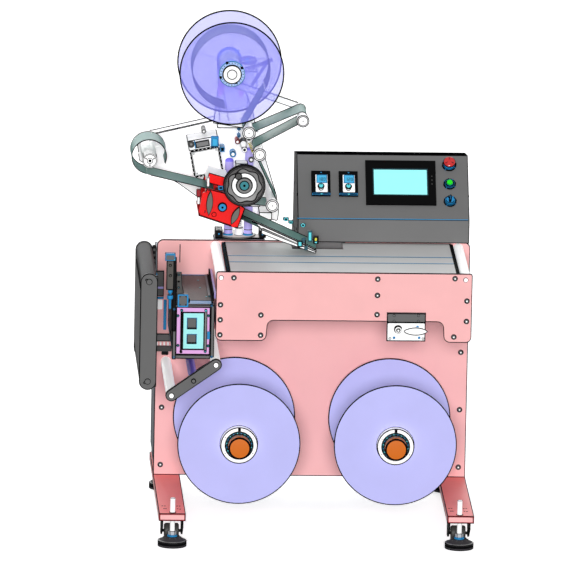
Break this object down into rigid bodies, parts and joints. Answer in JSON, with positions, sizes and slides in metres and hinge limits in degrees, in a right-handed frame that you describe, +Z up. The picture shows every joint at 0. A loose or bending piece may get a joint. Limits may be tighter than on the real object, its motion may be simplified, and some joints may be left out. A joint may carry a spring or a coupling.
{
  "type": "roll-to-roll labelling machine",
  "caption": "Free-standing roll-to-roll labelling machine: unwind and rewind reels under a table, label head with supply reel, dancer, peel plate and liner rewinder, and a sloped console.",
  "frame": {"origin": "middle of the machine's footprint, on the floor under the pads", "axes": "+Z up, the operator stands on the -Y side, +X to the operator's right"},
  "size_m": [1.122, 0.9209, 1.674],
  "materials": {
    "pink_paint": "satin powder coat",
    "cabinet_paint": "satin powder coat",
    "grey_paint": "satin powder coat",
    "black_metal": "satin",
    "red_paint": "gloss",
    "white_metal": "white anodised",
    "steel": "ground",
    "rubber_pad": "moulded",
    "lilac_plastic": "smooth",
    "black_plastic": "fine texture",
    "dark_plastic": "fine texture",
    "red_plastic": "gloss",
    "green_plastic": "gloss",
    "cyan_plastic": "gloss",
    "teal_web": "smooth"
  },
  "bodies": {
    "machine_frame": {"main_wall": "pink_paint", "cabinet_panels": "cabinet_paint", "foot_beams": "pink_paint", "foot_pads": "rubber_pad", "foot_studs": "steel", "caster_forks": "black_metal", "front_apron": "pink_paint", "tie_bars": "steel", "table_plate": "steel", "reel_drives": "grey_paint", "console_housing": "grey_paint", "hmi_panel": "black_plastic", "control_bezels": "black_plastic", "control_rack": "dark_plastic", "guide_frame": "grey_paint", "link_bar": "grey_paint", "printer_body": "dark_plastic", "latch_block": "white_metal", "head_base": "steel"},
    "door": {"rear_door": "cabinet_paint"},
    "caster_wheel_fl": {"caster_wheel_front_left": "dark_plastic"},
    "caster_wheel_fr": {"caster_wheel_front_right": "dark_plastic"},
    "caster_wheel_rl": {"caster_wheel_rear_left": "dark_plastic"},
    "caster_wheel_rr": {"caster_wheel_rear_right": "dark_plastic"},
    "table_roller_l": {"table_roller_left": "white_metal"},
    "table_roller_r": {"table_roller_right": "white_metal"},
    "unwind_reel": {"unwind_shaft": "white_metal", "unwind_flanges": "lilac_plastic"},
    "rewind_reel": {"rewind_shaft": "white_metal", "rewind_flanges": "lilac_plastic"},
    "estop": {"emergency_stop_button": "red_plastic"},
    "start": {"start_button": "green_plastic"},
    "selector": {"selector_knob": "cyan_plastic"},
    "dial_l": {"dial_knob_left": "cyan_plastic"},
    "dial_r": {"dial_knob_right": "cyan_plastic"},
    "guide_roller_t": {"guide_roller_top": "white_metal"},
    "guide_roller_b": {"guide_roller_bottom": "white_metal"},
    "link_roller_l": {"link_roller_left": "white_metal"},
    "link_roller_r": {"link_roller_right": "white_metal"},
    "print_slide": {"printer_slide": "black_metal"},
    "latch_lever": {"cam_lever": "white_metal"},
    "label_head": {"head_plate": "white_metal", "supply_bracket": "white_metal", "drive_motor": "white_metal", "nip_housing": "red_paint", "peel_plate": "white_metal", "label_web": "teal_web", "dancer_web": "teal_web"},
    "screw": {"jack_screw": "steel"},
    "wheel": {"handwheel": "dark_plastic"},
    "supply": {"supply_reel": "lilac_plastic", "label_roll": "teal_web"},
    "dancer": {"dancer_arm": "white_metal"},
    "dancer_roll": {"dancer_roller": "white_metal"},
    "roller_a": {"head_roller_a": "white_metal"},
    "roller_b": {"head_roller_b": "white_metal"},
    "roller_c": {"head_roller_c": "white_metal"},
    "nip_drive": {"nip_drive_roller": "dark_plastic"},
    "nip_pressure": {"nip_pressure_roller": "steel"},
    "rewinder": {"liner_rewinder": "white_metal"}
  },
  "joints": [
    {"name": "rear_door_hinge", "type": "hinge", "parent": "machine_frame", "child": "door", "pos_m": [0.55, 0.4465, 0.5], "axis": [0, 0, -1], "range_deg": [0, 110]},
    {"name": "caster_fl_spin", "type": "hinge", "parent": "machine_frame", "child": "caster_wheel_fl", "pos_m": [-0.42, -0.3365, 0.031], "axis": [1, 0, 0], "continuous": true},
    {"name": "caster_fr_spin", "type": "hinge", "parent": "machine_frame", "child": "caster_wheel_fr", "pos_m": [0.514, -0.3365, 0.031], "axis": [1, 0, 0], "continuous": true},
    {"name": "caster_rl_spin", "type": "hinge", "parent": "machine_frame", "child": "caster_wheel_rl", "pos_m": [-0.42, 0.3165, 0.031], "axis": [1, 0, 0], "continuous": true},
    {"name": "caster_rr_spin", "type": "hinge", "parent": "machine_frame", "child": "caster_wheel_rr", "pos_m": [0.514, 0.3165, 0.031], "axis": [1, 0, 0], "continuous": true},
    {"name": "table_roller_left_spin", "type": "hinge", "parent": "machine_frame", "child": "table_roller_l", "pos_m": [-0.274, -0.0865, 0.88], "axis": [0, 1, 0], "continuous": true},
    {"name": "table_roller_right_spin", "type": "hinge", "parent": "machine_frame", "child": "table_roller_r", "pos_m": [0.52, -0.0865, 0.88], "axis": [0, 1, 0], "continuous": true},
    {"name": "unwind_spin", "type": "hinge", "parent": "machine_frame", "child": "unwind_reel", "pos_m": [-0.205, -0.0865, 0.319], "axis": [0, 1, 0], "continuous": true},
    {"name": "rewind_spin", "type": "hinge", "parent": "machine_frame", "child": "rewind_reel", "pos_m": [0.3045, -0.0865, 0.319], "axis": [0, 1, 0], "continuous": true},
    {"name": "emergency_stop_press", "type": "slide", "parent": "machine_frame", "child": "estop", "axis": [0, 0.7071, -0.7071], "range_m": [0, 0.006], "stiffness_N_per_m": 900},
    {"name": "start_press", "type": "slide", "parent": "machine_frame", "child": "start", "axis": [0, 0.7071, -0.7071], "range_m": [0, 0.003], "stiffness_N_per_m": 400},
    {"name": "selector_turn", "type": "hinge", "parent": "machine_frame", "child": "selector", "pos_m": [0.493, 0.15259, 1.02809], "axis": [0, -0.7071, 0.7071], "range_deg": [-45, 45]},
    {"name": "dial_left_turn", "type": "hinge", "parent": "machine_frame", "child": "dial_l", "pos_m": [0.0705, 0.18653, 1.06203], "axis": [0, -0.7071, 0.7071], "range_deg": [0, 270]},
    {"name": "dial_right_turn", "type": "hinge", "parent": "machine_frame", "child": "dial_r", "pos_m": [0.1605, 0.18618, 1.06168], "axis": [0, -0.7071, 0.7071], "range_deg": [0, 270]},
    {"name": "guide_top_spin", "type": "hinge", "parent": "machine_frame", "child": "guide_roller_t", "pos_m": [-0.508, -0.0865, 0.869], "axis": [0, 1, 0], "continuous": true},
    {"name": "guide_bottom_spin", "type": "hinge", "parent": "machine_frame", "child": "guide_roller_b", "pos_m": [-0.508, -0.0865, 0.538], "axis": [0, 1, 0], "continuous": true},
    {"name": "link_left_spin", "type": "hinge", "parent": "machine_frame", "child": "link_roller_l", "pos_m": [-0.43, -0.0865, 0.493], "axis": [0, 1, 0], "continuous": true},
    {"name": "link_right_spin", "type": "hinge", "parent": "machine_frame", "child": "link_roller_r", "pos_m": [-0.287, -0.0865, 0.596], "axis": [0, 1, 0], "continuous": true},
    {"name": "printer_height_slide", "type": "slide", "parent": "machine_frame", "child": "print_slide", "axis": [0, 0, 1], "range_m": [-0.03, 0.01]},
    {"name": "cam_lever_turn", "type": "hinge", "parent": "machine_frame", "child": "latch_lever", "pos_m": [0.303, -0.3745, 0.716], "axis": [0, -1, 0], "range_deg": [0, 75]},
    {"name": "head_lift", "type": "slide", "parent": "machine_frame", "child": "label_head", "axis": [0, 0, 1], "range_m": [0, 0.05]},
    {"name": "handwheel_turn", "type": "hinge", "parent": "label_head", "child": "wheel", "pos_m": [-0.1965, -0.0865, 1.145], "axis": [0, -1, 0], "range_deg": [0, 1801]},
    {"name": "jack_screw_turn", "type": "hinge", "parent": "label_head", "child": "screw", "pos_m": [-0.1965, 0.1585, 1], "axis": [0, 0, 1], "range_deg": [0, 1801]},
    {"name": "supply_spin", "type": "hinge", "parent": "label_head", "child": "supply", "pos_m": [-0.241, 0.0135, 1.503], "axis": [0, 1, 0], "continuous": true},
    {"name": "dancer_swing", "type": "hinge", "parent": "label_head", "child": "dancer", "pos_m": [-0.215, 0.1045, 1.421], "axis": [0, -1, 0], "range_deg": [-20, 15], "stiffness_Nm_per_rad": 10, "springref_deg": 6.43, "deforming": ["dancer_web"]},
    {"name": "dancer_roller_spin", "type": "hinge", "parent": "dancer", "child": "dancer_roll", "pos_m": [-0.0077, 0.0135, 1.3517], "axis": [0, 1, 0], "continuous": true},
    {"name": "head_roller_a_spin", "type": "hinge", "parent": "label_head", "child": "roller_a", "pos_m": [-0.1827, 0.0135, 1.3099], "axis": [0, 1, 0], "continuous": true},
    {"name": "head_roller_b_spin", "type": "hinge", "parent": "label_head", "child": "roller_b", "pos_m": [-0.1464, 0.0135, 1.2381], "axis": [0, 1, 0], "continuous": true},
    {"name": "head_roller_c_spin", "type": "hinge", "parent": "label_head", "child": "roller_c", "pos_m": [-0.1019, 0.0135, 1.0689], "axis": [0, 1, 0], "continuous": true},
    {"name": "nip_drive_spin", "type": "hinge", "parent": "label_head", "child": "nip_drive", "pos_m": [-0.265, 0.0135, 1.065], "axis": [0, 1, 0], "continuous": true},
    {"name": "nip_pressure_spin", "type": "hinge", "parent": "label_head", "child": "nip_pressure", "pos_m": [-0.2914, 0.0135, 1.0386], "axis": [0, 1, 0], "continuous": true},
    {"name": "liner_rewind_spin", "type": "hinge", "parent": "label_head", "child": "rewinder", "pos_m": [-0.503, 0.0135, 1.214], "axis": [0, 1, 0], "continuous": true}
  ],
  "couplings": [
    {"joint": "handwheel_turn", "follows": "head_lift", "rad_per_m": 628.32},
    {"joint": "jack_screw_turn", "follows": "head_lift", "rad_per_m": 628.32},
    {"joint": "nip_pressure_spin", "follows": "nip_drive_spin", "ratio": -2.0526}
  ]
}
